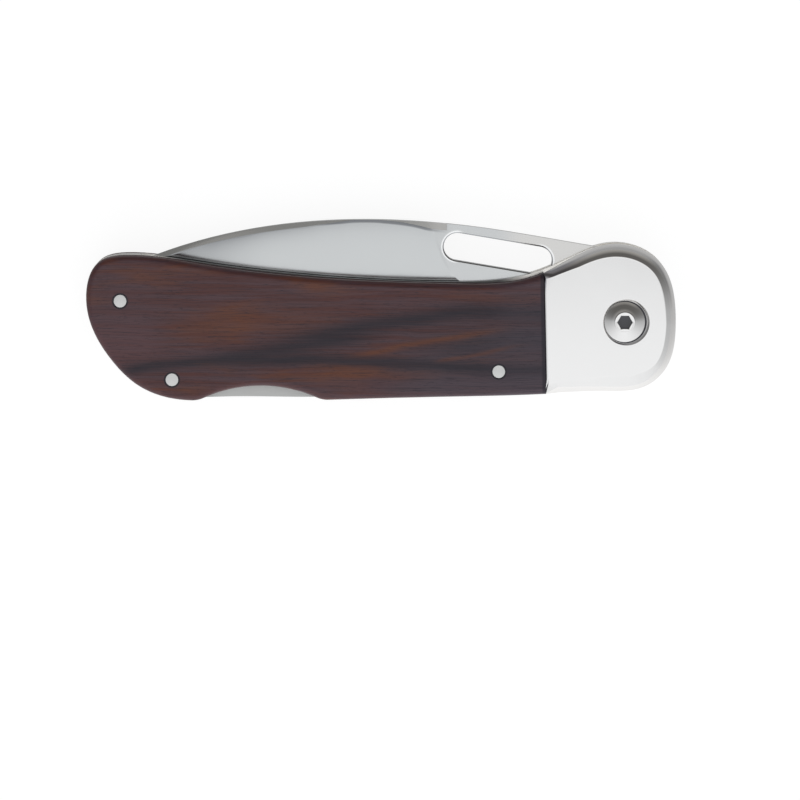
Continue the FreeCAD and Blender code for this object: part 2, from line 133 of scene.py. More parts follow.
def less(tree, first, second):
    return sums(tree, "SUBTRACT", first, second)


def atLeast(tree, value, least):
    return sums(tree, "MAXIMUM", value, least)


def lengthOf(tree, aside, across):
    return sums(tree, "SQRT", timesPlus(tree, aside, aside, times(tree, across, across)))


def bell(tree, away):
    # one on the line, falling off with the square of the distance in its exponent
    return sums(tree, "EXPONENT", times(tree, times(tree, away, away), -1.0))


def dying(tree, away, run):
    # one up to the edge, then falling by the same share over each run
    return sums(tree, "EXPONENT", sums(tree, "DIVIDE", atLeast(tree, away, 0.0), -run))


def ranged(tree, value, low, high, toLow=0.0, toHigh=1.0, smooth=True):
    inputs = {"Value": value, "From Min": low, "From Max": high, "To Min": toLow, "To Max": toHigh}
    kind = "SMOOTHSTEP" if smooth else "LINEAR"
    return addNode(tree, "ShaderNodeMapRange", inputs, interpolation_type=kind).outputs["Result"]


def spanned(tree, along, span):
    # fades in over the first two lengths of a span and out over its last two
    come, full, leave, gone = span
    return times(tree, ranged(tree, along, come, full), ranged(tree, along, leave, gone, 1.0, 0.0))


def traced(tree, along, points, reach, height):
    # a line drawn through points: height as a curve over the length
    low, high = reach
    base, top = height
    node = addNode(tree, "ShaderNodeFloatCurve", {"Value": ranged(tree, along, low, high, smooth=False)})
    curve = node.mapping.curves[0]
    for number, (x, y) in enumerate(points):
        place = ((x - low) / (high - low), (y - base) / (top - base))
        if number < 2:  # a new curve has two points already
            curve.points[number].location = place
        else:
            curve.points.new(*place)
    node.mapping.update()
    return ranged(tree, node.outputs["Value"], 0.0, 1.0, base, top, smooth=False)


def around(tree, place, centre, near, far):
    # one inside the near distance from an upright axis, nothing beyond the far one
    aside = less(tree, place[0], centre[0])
    across = less(tree, place[1], centre[1])
    return ranged(tree, lengthOf(tree, aside, across), near, far, 1.0, 0.0)


def fromSegment(tree, place, start, end):
    # distance from the straight line between two points, and the share of the way along it
    run = (end[0] - start[0], end[1] - start[1])
    square = run[0]**2 + run[1]**2
    aside = less(tree, place[0], start[0])
    across = less(tree, place[1], start[1])
    share = timesPlus(tree, aside, run[0] / square, times(tree, across, run[1] / square))
    held = times(tree, share, 1.0, clamp=True)
    aside = timesPlus(tree, held, -run[0], aside)
    across = timesPlus(tree, held, -run[1], across)
    return lengthOf(tree, aside, across), share


def mixed(tree, share, first, second):
    node = addNode(tree, "ShaderNodeMix", data_type="RGBA")
    shareInput = [socket for socket in node.inputs if socket.type == "VALUE"][0]
    colourInputs = [socket for socket in node.inputs if socket.type == "RGBA"]
    for socket, value in zip((shareInput, *colourInputs), (share, first, second)):
        feed(tree, socket, value)
    return [socket for socket in node.outputs if socket.type == "RGBA"][0]


def retint(tree, shader, share, colour):
    # mixes a colour into what already feeds the base colour
    before = shader.inputs["Base Color"].links[0].from_socket
    feed(tree, shader.inputs["Base Color"], mixed(tree, share, before, colour))


def bumped(tree, shader, height, strength, distance):
    node = addNode(tree, "ShaderNodeBump", {"Height": height, "Strength": strength, "Distance": distance})
    feed(tree, shader.inputs["Normal"], node.outputs["Normal"])


# metals: tint and shade mix in clouds, lines are fine scratches; the bump's distance is in metres
metal = dict(lineDetail=4.0, lineRoughness=0.6, lineColour=(0.3, 0.3, 0.3), cloudDetail=3.0,
             cloudRange=(0.3, 0.7), bumpDistance=0.00002)
polished = dict(metal, tint=(0.86, 0.85, 0.84), shade=(0.80, 0.79, 0.78), cloudScale=0.12, smooth=0.06,
                rough=0.11, lineStretch=(0.4, 6.0, 0.4), lineTone=0.02, lineRough=0.05, lineBump=0.03)
plain = dict(metal, tint=(0.66, 0.66, 0.65), shade=(0.58, 0.58, 0.57), cloudScale=0.2, smooth=0.25,
             rough=0.36, lineStretch=(0.3, 5.0, 5.0), lineTone=0.08, lineRough=0.08, lineBump=0.08)
bar = dict(plain, tint=(0.52, 0.52, 0.51), shade=(0.44, 0.44, 0.43))
bronze = dict(metal, tint=(0.72, 0.50, 0.24), shade=(0.58, 0.38, 0.17), cloudScale=0.3, smooth=0.25,
              rough=0.4, lineStretch=(2.0, 2.0, 2.0), lineTone=0.05, lineRough=0.08, lineBump=0.06)
tempered = dict(metal, tint=(0.36, 0.37, 0.40), shade=(0.26, 0.27, 0.31), cloudScale=0.2, smooth=0.3,
                rough=0.42, lineStretch=(0.3, 4.0, 4.0), lineTone=0.06, lineRough=0.08, lineBump=0.06)


def steel(name, look):
    # metal whose tint, roughness and fine scratch lines vary with stretched noise
    material, tree, shader = newMaterial(name)
    feed(tree, shader.inputs["Metallic"], 1.0)
    stretched = millimetres(tree, look["lineStretch"])
    lines = noise(tree, stretched, 1.0, look["lineDetail"], look["lineRoughness"])
    cloud = noise(tree, millimetres(tree), look["cloudScale"], look["cloudDetail"])
    tone = mixed(tree, cloud, look["shade"], look["tint"])
    tone = mixed(tree, times(tree, lines, look["lineTone"]), tone, look["lineColour"])
    feed(tree, shader.inputs["Base Color"], tone)
    rough = ranged(tree, cloud, *look["cloudRange"], look["smooth"], look["rough"])
    feed(tree, shader.inputs["Roughness"], timesPlus(tree, lines, look["lineRough"], rough))
    bumped(tree, shader, lines, look["lineBump"], look["bumpDistance"])
    return material


# blade: drawn lines give the spine's height, the swedge's depth below it and the painted shade under that,
# along the length; a range is from, to and the shares there
satin = dict(metal, tint=(0.595, 0.605, 0.605), shade=(0.55, 0.56, 0.56), cloudScale=0.08, smooth=0.10,
             rough=0.15, lineStretch=(9.0, 0.25, 0.25), lineTone=0.06, lineRough=0.05, lineBump=0.10,
             reach=(-60.0, 60.0), spineRange=(-17.0, 20.0), swedgeRange=(0.0, 2.0), shadeRange=(0.0, 1.0),
             spine=[(-60, -2), (-47, 6.6), (-40.9, 10.05), (-34.2, 13.09), (-26.7, 15.18), (-17.2, 16.7),
                    (-7.8, 17.07), (8.3, 16.6), (22.5, 15.1), (60, 9)],
             swedge=[(-60, 0.85), (-36, 0.9), (-30.4, 0.94), (-22.8, 1.0), (-15.3, 0.96), (-11.5, 0.7),
                     (-7.7, 0.4), (-2.1, 0.13), (0.7, 0.25), (2.6, 0.36), (5.4, 0.6), (7.3, 0.89),
                     (9.2, 1.19), (11.1, 1.3), (60, 1.3)],
             # painted shade under the swedge: its depth along the blade and its fade below the swedge; then
             # its colour, the painted shade toward the point and in a band under the spine
             spineShade=[(-60, 0.1), (-41, 0.15), (-36, 0.24), (-30.4, 0.68), (-22.8, 0.84), (-15.3, 0.68),
                         (-7.7, 0.47), (-2, 0.42), (3.5, 0.32), (7.3, 0.25), (12, 0.12), (15, 0.0),
                         (60, 0.0)],
             spineFade=1.6,
             flatLean=(0.05, 0.2),  # lean of the surface toward the spine, from flat to swedge
             shadeTone=(0.20, 0.205, 0.215), point=(-46.0, -19.0, 0.62, 0.0),
             strip=(0.3, 0.65, 0.75, 0.0), stripSpan=(-14.0, -8.0, 8.0, 13.5),
             # painted highlights on the swedge, past the plunge and on the tang; a painted highlight and
             # shade line round the slot
             swedgeHighlight=(-0.8, 0.0, 0.0, 0.45), swedgeHighlightSpan=(-60.0, -50.0, -32.0, -18.0),
             swedgeLift=(3.0, 11.0, 0.0, 0.62), swedgeEnd=(12.3, 12.5), highlightTone=(1.0, 1.0, 1.0),
             plunge=(10.55, 14.72, 0.44),  # a point on the plunge line, and its slant
             plungeLift=(-1.2, -0.45, 0.0, 0.1),
             tang=(21.5, 27.0, 0.0, 0.19), tangRise=(7.0, 9.0), tangHighlightTone=(1.0, 0.89, 0.79),
             slot=((14.425, 11.862), (29.725, 9.292)), slotRadius=2.6, slotEnds=(0.44, 0.54),
             slotRim=(0.3, 0.6), rimHighlightTone=(0.97, 0.97, 0.97), slotShadeLine=(0.14, 0.224, 0.65, 0.0))


def bladeFinish(look):
    # satin steel with painted shade toward the point, under the swedge and in a band along the spine;
    # painted highlights on the swedge at both ends, past the plunge and at the tang, and round the thumb
    # slot's ends, with a painted shade line at its edge
    material = steel("satinBlade", look)
    tree, shader, place = opened(material)
    along, height = place[:2]
    below = less(tree, traced(tree, along, look["spine"], look["reach"], look["spineRange"]), height)
    under = less(tree, below, traced(tree, along, look["swedge"], look["reach"], look["swedgeRange"]))
    lean = parted(tree, addNode(tree, "ShaderNodeTexCoord").outputs["Normal"])[1]
    flat = ranged(tree, lean, *look["flatLean"], 1.0, 0.0)
    raised = less(tree, 1.0, flat)

    # painted shade, on the flat only: under the swedge, toward the point and in a band under the spine
    depth = traced(tree, along, look["spineShade"], look["reach"], look["shadeRange"])
    fade = dying(tree, under, look["spineFade"])
    shade = timesPlus(tree, fade, depth, ranged(tree, along, *look["point"]))
    strip = times(tree, ranged(tree, under, *look["strip"]), spanned(tree, along, look["stripSpan"]))
    retint(tree, shader, times(tree, sums(tree, "ADD", shade, strip), flat, clamp=True), look["shadeTone"])

    # painted highlight on the swedge toward its right end and along its lower edge at the left
    lift = times(tree, ranged(tree, along, *look["swedgeLift"], smooth=False), raised)
    lift = times(tree, lift, ranged(tree, along, *look["swedgeEnd"], 1.0, 0.0))
    glow = times(tree, ranged(tree, under, *look["swedgeHighlight"]), spanned(tree, along, look["swedgeHighlightSpan"]))
    retint(tree, shader, timesPlus(tree, glow, raised, lift), look["highlightTone"])

    # painted highlight past the plunge, evening its tone with the grind
    start, level, slant = look["plunge"]
    ahead = less(tree, along, timesPlus(tree, height, -slant, start + slant * level))
    retint(tree, shader, ranged(tree, ahead, *look["plungeLift"]), look["highlightTone"])
    # painted warm light on the tang, toward its top
    tang = times(tree, ranged(tree, along, *look["tang"]), ranged(tree, height, *look["tangRise"]))
    retint(tree, shader, tang, look["tangHighlightTone"])

    # painted highlight round the slot's ends, standing in for an eased rim, and a painted shade line at its
    # edge
    away, share = fromSegment(tree, place, *look["slot"])
    away = less(tree, away, look["slotRadius"])
    ends = ranged(tree, sums(tree, "ABSOLUTE", less(tree, share, 0.5)), *look["slotEnds"])
    retint(tree, shader, times(tree, ranged(tree, away, *look["slotRim"], 1.0, 0.0), ends), look["rimHighlightTone"])
    retint(tree, shader, ranged(tree, away, *look["slotShadeLine"]), look["shadeTone"])
    return material


# liners: a dark tint standing in for painted shade along the handle's edge, with painted reflections at the
# butt and at the bolster
liner = dict(plain, tint=(0.13, 0.127, 0.125), shade=(0.10, 0.098, 0.095), reflectionTone=(0.95, 0.92, 0.87),
             butt=(-43.0, -36.5, 1.0, 0.0), bolsterEnd=(22.0, 29.0))


def linerFinish(look):
    # steel darkened as painted shade, with painted reflections lighter at the butt and at the bolster
    material = steel("linerSteel", look)
    tree, shader, place = opened(material)
    butt = ranged(tree, place[0], *look["butt"])
    share = sums(tree, "ADD", butt, ranged(tree, place[0], *look["bolsterEnd"]))
    retint(tree, shader, share, look["reflectionTone"])
    return material


finishes = {
    "bolster_steel": steel("polishedBolster", polished),
    "pivot_steel": steel("brightPivot", polished),
    "pin_steel": steel("groundPin", plain),
    "blade_steel": bladeFinish(satin),
    "liner_steel": linerFinish(liner),
    "lock_steel": steel("lockSteel", bar),
    "spring_steel": steel("temperedSpring", tempered),
    "bearing_bronze": steel("turnedBronze", bronze),
}
print("metals ready:", len(finishes))


# wood: a purple-brown ground with fine level grain, then dark bands and warm flames along drawn lines;
# a grain is its stretch and detail, a mix is from, to and the shares there, the bump is strength and metres
wood = dict(reach=(-58.0, 34.0), height=(-17.0, 12.0), sway=0.7, driftStretch=(0.05, 0.16, 0.2),
            driftDetail=3.0, driftRoughness=0.55, base=(0.098, 0.034, 0.031), mid=(0.096, 0.051, 0.060),
            slate=(0.034, 0.034, 0.050), warm=(0.165, 0.050, 0.018), dark=(0.019, 0.0155, 0.025),
            cool=(0.074, 0.060, 0.080), rose=(0.135, 0.064, 0.072),
            broadGrain=((0.05, 0.22, 0.3), 3.0), streakGrain=((0.05, 1.3, 0.8), 5.0),
            lineGrain=((0.09, 5.5, 2.5), 4.0), poreGrain=((0.5, 9.0, 4.0), 2.0), grainRoughness=0.6,
            streakMix=(0.34, 0.66), broadMix=(0.50, 0.74, 0.0, 0.7), fray=(0.3, 0.6, 0.72, 1.0),
            lineMix=(0.46, 0.70, 0.0, 0.5), poreMix=(0.60, 0.68), poreShade=0.6, pinRing=(1.42, 1.64),
            ringShade=0.9, jointRun=(-0.9, -0.45), jointShade=0.8, gloss=(0.3, 0.7, 0.33, 0.43), middle=6.8,
            sheen=(4.4, 5.9, 0.0, 0.3), lineRelief=0.3, bump=(0.35, 0.00003))
woodLines = [
    dict(points=[(-58, -2), (34, -2)], width=9.0, depth=0.55, span=(-70, -60, -47, -39), tone="mid"),
    dict(points=[(-58, -2.5), (-39, -3), (-32, -3.2), (-22, -1.9), (-12, -2), (34, -1)],
         width=2.4, depth=0.32, span=(-44, -36, -16, -4), tone="warm"),
    dict(points=[(-58, 3), (12, 2.9), (27, 2.5), (34, 2.5)],
         width=0.8, depth=0.3, span=(10, 14, 29, 31), tone="warm"),
    dict(points=[(-58, -14.2), (-10, -14), (34, -14)],
         width=1.3, depth=0.6, span=(-20, -6, 36, 40), tone="mid"),
    dict(points=[(-58, -6.5), (34, -6.5)], width=4.0, depth=0.55, span=(-70, -60, -46, -37), tone="rose"),
    dict(points=[(-58, -13), (34, -13)], width=5.0, depth=0.75, span=(-4, 12, 60, 70), tone="cool"),
    dict(points=[(-58, -12.8), (-48.3, -11.4), (-41.8, -10.3), (-30.5, -9.4), (-19, -9.3), (-9.7, -9.3),
                 (1.7, -9.9), (13, -10.5), (34, -11.3)],
         width=1.25, depth=0.92, span=(-52, -46, 36, 40), tone="dark"),
    dict(points=[(-58, -9), (-34, -8.6), (-25, -7.9), (-17, -6.9), (-8, -5.6), (2, -4.6), (34, -3)],
         width=1.5, depth=0.85, span=(-36, -26, -8, 4), tone="dark"),
    dict(points=[(-58, -7), (-28, -6.4), (-20, -5.4), (-11.5, -4.6), (-5.4, -3.3), (7.3, -1.4), (13, -0.4),
                 (21.5, 0), (34, -0.8)],
         width=1.8, depth=0.92, span=(-27, -8, 36, 40), tone="dark"),
    dict(points=[(-58, -6), (12, -6.5), (20, -5.8), (34, -5.6)],
         width=3.0, depth=0.8, span=(-2, 18, 36, 40), tone="slate"),
    dict(points=[(-58, -9), (-8, -8.6), (-2, -8.0), (4.5, -6.5), (12, -5.2), (18, -4.2), (24.5, -3.4),
                 (34, -2.8)],
         width=0.6, depth=0.75, span=(-8, 0, 16, 27), tone="warm"),
    dict(points=[(-58, -10), (9, -9.6), (12, -9.2), (18, -8.3), (25.7, -6.7), (34, -5.6)],
         width=0.42, depth=0.5, span=(9, 13, 20, 31), tone="warm"),
    dict(points=[(-58, -12), (-14, -12.0), (-4, -12.2), (5, -12.6), (34, -13)],
         width=0.6, depth=0.3, span=(-16, -8, 2, 12), tone="warm"),
    dict(points=[(-58, -3), (34, -3)], width=16.0, depth=0.4, span=(18, 27, 60, 70), tone="cool"),
]


def bandOf(tree, along, height, row, look):
    # falls off as a bell of the distance from the drawn line, and fades at both ends
    drawn = traced(tree, along, row["points"], look["reach"], look["height"])
    away = sums(tree, "DIVIDE", less(tree, height, drawn), row["width"])
    share = times(tree, bell(tree, away), spanned(tree, along, row["span"]))
    return times(tree, share, row["depth"], clamp=True)


def woodFinish(look, rows):
    # grain swayed by slow noise, with the drawn lines frayed by it, then fine lines and pores;
    # dark round the pins and at the joint with the bolster
    material, tree, shader = newMaterial("darkHardwood")
    place = parted(tree, millimetres(tree))
    along = place[0]
    slow = millimetres(tree, look["driftStretch"])
    drift = noise(tree, slow, 1.0, look["driftDetail"], look["driftRoughness"])
    height = timesPlus(tree, less(tree, drift, 0.5), 2.0 * look["sway"], place[1])
    swayed = addNode(tree, "ShaderNodeCombineXYZ", {"X": along, "Y": height, "Z": place[2]})

    def grained(stretch, detail):
        mapping = addNode(tree, "ShaderNodeMapping", {"Vector": swayed.outputs["Vector"], "Scale": stretch})
        return noise(tree, mapping.outputs["Vector"], 1.0, detail, look["grainRoughness"])

    broad = grained(*look["broadGrain"])
    streaks = grained(*look["streakGrain"])
    lines = grained(*look["lineGrain"])
    pores = ranged(tree, grained(*look["poreGrain"]), *look["poreMix"])
    tone = mixed(tree, ranged(tree, streaks, *look["streakMix"]), look["mid"], look["base"])
    tone = mixed(tree, ranged(tree, broad, *look["broadMix"]), tone, look["warm"])
    fray = ranged(tree, lines, *look["fray"])
    for row in rows:
        share = times(tree, bandOf(tree, along, height, row, look), fray)
        tone = mixed(tree, share, tone, look[row["tone"]])
    tone = mixed(tree, ranged(tree, lines, *look["lineMix"]), tone, look["dark"])
    tone = mixed(tree, times(tree, pores, look["poreShade"]), tone, look["dark"])
    for node in pinNodes:
        ring = around(tree, place, boxOf(node)[0], *look["pinRing"])
        tone = mixed(tree, times(tree, ring, look["ringShade"]), tone, look["dark"])
    edge = boxOf("pivot_screw")[0][0] - seam["back"]
    ahead = less(tree, timesPlus(tree, place[1], seam["lean"], along), edge)
    joint = times(tree, ranged(tree, ahead, *look["jointRun"]), look["jointShade"])
    feed(tree, shader.inputs["Base Color"], mixed(tree, joint, tone, look["dark"]))
    feed(tree, shader.inputs["Roughness"], ranged(tree, streaks, *look["gloss"]))
    outward = sums(tree, "ABSOLUTE", less(tree, place[2], look["middle"]))
    feed(tree, shader.inputs["Specular IOR Level"], ranged(tree, outward, *look["sheen"]))
    bumped(tree, shader, less(tree, times(tree, lines, look["lineRelief"]), pores), *look["bump"])
    return material


finishes["scale_wood"] = woodFinish(wood, woodLines)
slotOf = {row["node"]: row["material_slot"] for row in frame["record"]["subparts"]}
for name, piece in frame["nodes"].items():
    piece.data.materials.clear()
    piece.data.materials.append(finishes[slotOf[name]])
print("finishes on", len(frame["nodes"]), "nodes")


# hardware, worked out as rings of points
surface = dict(mergeWithin=1e-7, sharpAngle=math.radians(28.0))  # metres, radians


def ringPiece(name, rings, material, body, node):
    # rings: an array of rows by angles by xyz; each row is joined to the next, and the rings close on
    # themselves
    rows, sides = rings.shape[:2]
    index = np.arange(rows * sides).reshape(rows, sides)
    first = index[:-1]
    second = index[1:]
    faces = np.stack([first, np.roll(first, -1, 1), np.roll(second, -1, 1), second], axis=-1).reshape(-1, 4)
    mesh = bpy.data.meshes.new(name)
    mesh.from_pydata((rings / perMetre).reshape(-1, 3).tolist(), [], faces.tolist())
    shell = bmesh.new()
    shell.from_mesh(mesh)
    bmesh.ops.remove_doubles(shell, verts=shell.verts, dist=surface["mergeWithin"])
    bmesh.ops.recalc_face_normals(shell, faces=shell.faces)
    shell.to_mesh(mesh)
    shell.free()
    mesh.shade_smooth()
    mesh.set_sharp_from_angle(angle=surface["sharpAngle"])
    mesh.materials.append(material)
    piece = bpy.data.objects.new(name, mesh)
    bpy.context.scene.collection.objects.link(piece)
    if body:
        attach(piece, body)
    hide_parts(node)
    return piece


def turned(reach, level, angle, centre):
    # a profile swung about an upright axis: distance from it by row, or by row and angle, and level by row
    x = reach * np.cos(angle) + centre[0]
    y = reach * np.sin(angle) + centre[1]
    return np.stack([x, y, np.repeat(level[:, None], angle.size, 1)], axis=-1)


def arcRows(start, end, bulge, count):
    # points from start to end of a profile, pushed out sideways by a sine bow
    share = np.linspace(0.0, 1.0, count)[:, None]
    start = np.array(start)
    run = np.array(end) - start
    side = np.array([-run[1], run[0]]) / np.hypot(*run)
    return start + share * run - side * bulge * np.sin(np.pi * share)


screw = dict(headHeight=2.2, headRadius=3.8, rimHeight=0.9, rimEase=0.1, domeBow=0.12, domeRows=16,
             crownRadius=1.85, crownEase=0.08, acrossFlats=2.5, mouthEase=0.14, mouthDrop=0.084,
             socketDepth=1.45, socketFloor=0.92, drillDepth=0.5, shankRadius=2.0, shankEase=0.25, sides=180,
             # the socket's painted shade: its reach from the axis, its depth below the top, its colour and
             # added roughness
             socketShadeReach=(1.52, 1.58), socketShadeBelow=(-0.12, -0.06), socketShadeTone=(0.10, 0.10, 0.105),
             socketRough=0.3)


def makeScrew(look, material):
    # radius over the angle is a circle or a hexagon; the socket's mouth runs from one to the other
    centre, low, high = boxOf("pivot_screw")
    foot = low[2]
    top = high[2]
    seat = top - look["headHeight"]
    bottom = top - look["socketDepth"]
    head = look["headRadius"]
    crown = look["crownRadius"]
    shank = look["shankRadius"]
    half = look["acrossFlats"] / 2
    mouth = half / math.cos(math.pi / 6) + look["mouthEase"]
    crownEdge = (crown + look["crownEase"], top - look["crownEase"])
    dome = arcRows((head, seat + look["rimHeight"]), crownEdge, look["domeBow"], look["domeRows"])
    # rows: radius, level, and one for a hexagon
    rows = [(0.0, foot, 0), (shank - look["shankEase"], foot, 0), (shank, foot + look["shankEase"], 0),
            (shank, seat, 0), (head - look["rimEase"], seat, 0), (head, seat + look["rimEase"], 0)]
    rows += [(radius, level, 0) for radius, level in dome]
    rows += [(crown, top, 0), (mouth, top, 0), (half, top - look["mouthDrop"], 1), (half, bottom, 1),
             (half * look["socketFloor"], bottom, 0), (0.0, bottom - look["drillDepth"], 0)]
    radius, level, hexShare = np.array(rows).T
    angle = np.linspace(0.0, 2 * np.pi, look["sides"], endpoint=False)
    fromFlat = np.abs(np.mod(angle, np.pi / 3) - np.pi / 6)
    reach = radius[:, None] * (1.0 + hexShare[:, None] * (1.0 / np.cos(fromFlat) - 1.0))
    rings = turned(reach, level, angle, centre)
    ringPiece("buttonScrew", rings, material, "handle", "pivot_screw")


def screwFinish(look):
    # bright steel with painted shade inside the socket: dark within its mouth and below the crown
    centre, high = boxOf("pivot_screw")[::2]
    material = steel("socketShadedScrew", polished)
    tree, shader, place = opened(material)
    deep = ranged(tree, less(tree, place[2], high[2]), *look["socketShadeBelow"], 1.0, 0.0)
    socketShade = times(tree, around(tree, place, centre, *look["socketShadeReach"]), deep)
    retint(tree, shader, socketShade, look["socketShadeTone"])
    smooth = shader.inputs["Roughness"].links[0].from_socket
    feed(tree, shader.inputs["Roughness"], timesPlus(tree, socketShade, look["socketRough"], smooth))
    return material


pinHead = dict(dome=0.10, ease=0.12, rows=8, sides=96)


def makePin(node, look, material):
    # a plain rod with a low crown at each end: level over the radius is a parabola, eased at the corner
    centre, low, high = boxOf(node)
    foot = low[2]
    top = high[2]
    edge = (high[0] - low[0]) / 2
    share = np.linspace(0.0, 1.0, look["rows"])
    inner = (edge - look["ease"]) * share
    under = np.stack([inner, foot + look["dome"] * share**2], axis=-1)
    over = np.stack([inner, top + look["dome"] * (1.0 - share**2)], axis=-1)[::-1]
    wall = np.array([(edge, foot + look["dome"] + look["ease"]), (edge, top - look["ease"])])
    radius, level = np.concatenate([under, wall, over]).T
    angle = np.linspace(0.0, 2 * np.pi, look["sides"], endpoint=False)
    rings = turned(radius[:, None], level, angle, centre)
    ringPiece(node + "Crowned", rings, material, "handle", node)


leaf = dict(sag=0.55, thickness=0.9, ease=0.1, rows=60, freeFrom=-36.7)


def makeSpring(look, material):
    # an eased rectangle carried along a shallow parabola, from its root at the spacer to its tip at the
    # lock bar
    low, high = boxOf("lock_spring")[1:]
    foot = low[2]
    top = high[2]
    thick = look["thickness"]
    ease = look["ease"]
    root = high[1] - thick
    share = np.linspace(0.0, 1.0, look["rows"])
    x = low[0] + share * (high[0] - low[0])
    y = root + share * (low[1] - root) + 4.0 * look["sag"] * share * (1.0 - share)
    section = np.array([(0, foot + ease), (0, top - ease), (ease, top), (thick - ease, top),
                        (thick, top - ease), (thick, foot + ease), (thick - ease, foot), (ease, foot)])
    rings = np.stack([np.repeat(x[:, None], len(section), 1), y[:, None] + section[:, 0],
                      np.repeat(section[None, :, 1], len(x), 0)], axis=-1)
    ends = np.repeat(rings[[0, -1]].mean(1, keepdims=True), len(section), 1)
    rings = np.concatenate([ends[:1], rings, ends[1:]])
    piece = ringPiece("bendingSpring", rings, material, None, "lock_spring")
    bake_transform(piece)


# bolster: the outline is measured from the pivot, with the bevel's width at each of its points; the taper
# is two runs of stations and the least share at the seam
bolster = dict(outline=[(-35.575, -14.305), (-15.1, -13.75), (-3.5, -13.3), (4.2, -12.35), (7.75, -9.3),
                        (9.75, -0.4), (6.557, 11.307), (-1.15, 14.5), (-9.5, 12.25), (-16.5, 8.7),
                        (-32.0, 7.15)],
               bevelWidth=[2.0, 2.2, 3.2, 3.2, 2.5, 2.05, 2.4, 2.45, 2.3, 1.1, 0.9], fallMost=2.3,
               finePoints=4000, stations=230, seamStations=60, seamBlend=8.0, seamTaper=(8, 5, 0.35),
               seamEase=0.55, seamFall=0.22, cornerShare=0.08, skin=0.01, creaseAngle=31.0, edgeAngle=62.0,
               wallAngle=88.0, creaseShare=0.10, edgeShare=0.12, creaseRows=9, bevelRows=9, edgeRows=7,
               crown=0.07, crownReach=13.0, flatHub=4.8,
               faceShares=[0.02, 0.06, 0.13, 0.25, 0.4, 0.55, 0.7, 0.85, 0.95],
               # rows at the hub: radius, depth below the outer face, centre
               frontHub=[(4.36, 0.0, 0.33, -0.10), (4.05, 0.3, 0.2, -0.08), (4.05, 0.8, 0.2, -0.08),
                         (2.03, 0.8, 0.0, 0.0)],
               rearHub=[(4.40, 0.0, 0.0, 0.0), (4.32, 0.08, 0.0, 0.0), (4.32, 1.35, 0.0, 0.0),
                        (2.82, 1.35, 0.0, 0.0)])


def splineThrough(points, count):
    # cubic spline over chord length: second slopes from the usual tridiagonal equations, free at both ends
    points = np.array(points)
    chord = np.concatenate([[0.0], np.cumsum(np.hypot(*np.diff(points, axis=0).T))])
    step = np.diff(chord)
    system = np.diag(np.concatenate([[1.0], 2.0 * (step[:-1] + step[1:]), [1.0]]))
    inside = np.arange(1, len(points) - 1)
    system[inside, inside - 1] = step[:-1]
    system[inside, inside + 1] = step[1:]
    slope = np.diff(points, axis=0) / step[:, None]
    right = np.zeros_like(points)
    right[1:-1] = 6.0 * np.diff(slope, axis=0)
    bend = np.linalg.solve(system, right)
    at = np.linspace(0.0, chord[-1], count)
    span = np.clip(np.searchsorted(chord, at, side="right") - 1, 0, len(step) - 1)
    ahead = (chord[span + 1] - at)[:, None]
    behind = (at - chord[span])[:, None]
    width = step[span][:, None]
    curve = (bend[span] * ahead**3 + bend[span + 1] * behind**3) / (6.0 * width)
    curve += (points[span] / width - bend[span] * width / 6.0) * ahead
    curve += (points[span + 1] / width - bend[span + 1] * width / 6.0) * behind
    return curve, at, chord


def evenly(path, values, count):
    # the same path with its points the same distance apart
    length = np.concatenate([[0.0], np.cumsum(np.hypot(*np.diff(path, axis=0).T))])
    even = np.linspace(0.0, length[-1], count)
    columns = [np.interp(even, length, column) for column in (*path.T, values)]
    return np.stack(columns[:2], axis=-1), columns[2]


def bevelProfile(look):
    # a path whose slope angle rises over the soft crease, the bevel and the outer corner; its width is one
    crease = np.linspace(0.0, look["creaseAngle"], look["creaseRows"])
    face = np.linspace(look["creaseAngle"], look["edgeAngle"], look["bevelRows"] + 1)[1:]
    corner = np.linspace(look["edgeAngle"], look["wallAngle"], look["edgeRows"] + 1)[1:]
    angle = np.radians(np.concatenate([crease, face, corner]))
    shares = (look["creaseShare"], 1.0 - look["creaseShare"] - look["edgeShare"], look["edgeShare"])
    counts = (look["creaseRows"], look["bevelRows"], look["edgeRows"])
    length = np.concatenate([np.full(count, share / count) for share, count in zip(shares, counts)])
    across = np.concatenate([[0.0], np.cumsum(np.cos(angle) * length)])
    down = np.concatenate([[0.0], np.cumsum(np.sin(angle) * length)])
    return across / across[-1], down / across[-1]


def bolsterEdge(look):
    # the outline ahead of the seam, with the bevel's width, the way inward, which turns along the seam at
    # both ends, and how free of the seam each point is
    path, at, chord = splineThrough(look["outline"], look["finePoints"])
    width = np.interp(at, chord, look["bevelWidth"])
    ahead = path[:, 0] > -seam["back"] - seam["lean"] * path[:, 1]
    path, width = evenly(path[ahead], width[ahead], look["stations"])
    tangent = np.gradient(path, axis=0)
    inward = np.stack([-tangent[:, 1], tangent[:, 0]], axis=-1) / np.hypot(*tangent.T)[:, None]
    number = np.arange(len(path))
    free = np.clip(np.minimum(number, number[::-1]) / look["seamBlend"], 0.0, 1.0)
    along = np.array([-seam["lean"], 1.0])
    seamward = np.where(path[:, 1:] > 0.0, -along, along)
    inward = free[:, None] * inward + (1.0 - free[:, None]) * seamward
    return path + inward * look["skin"], width, inward, free


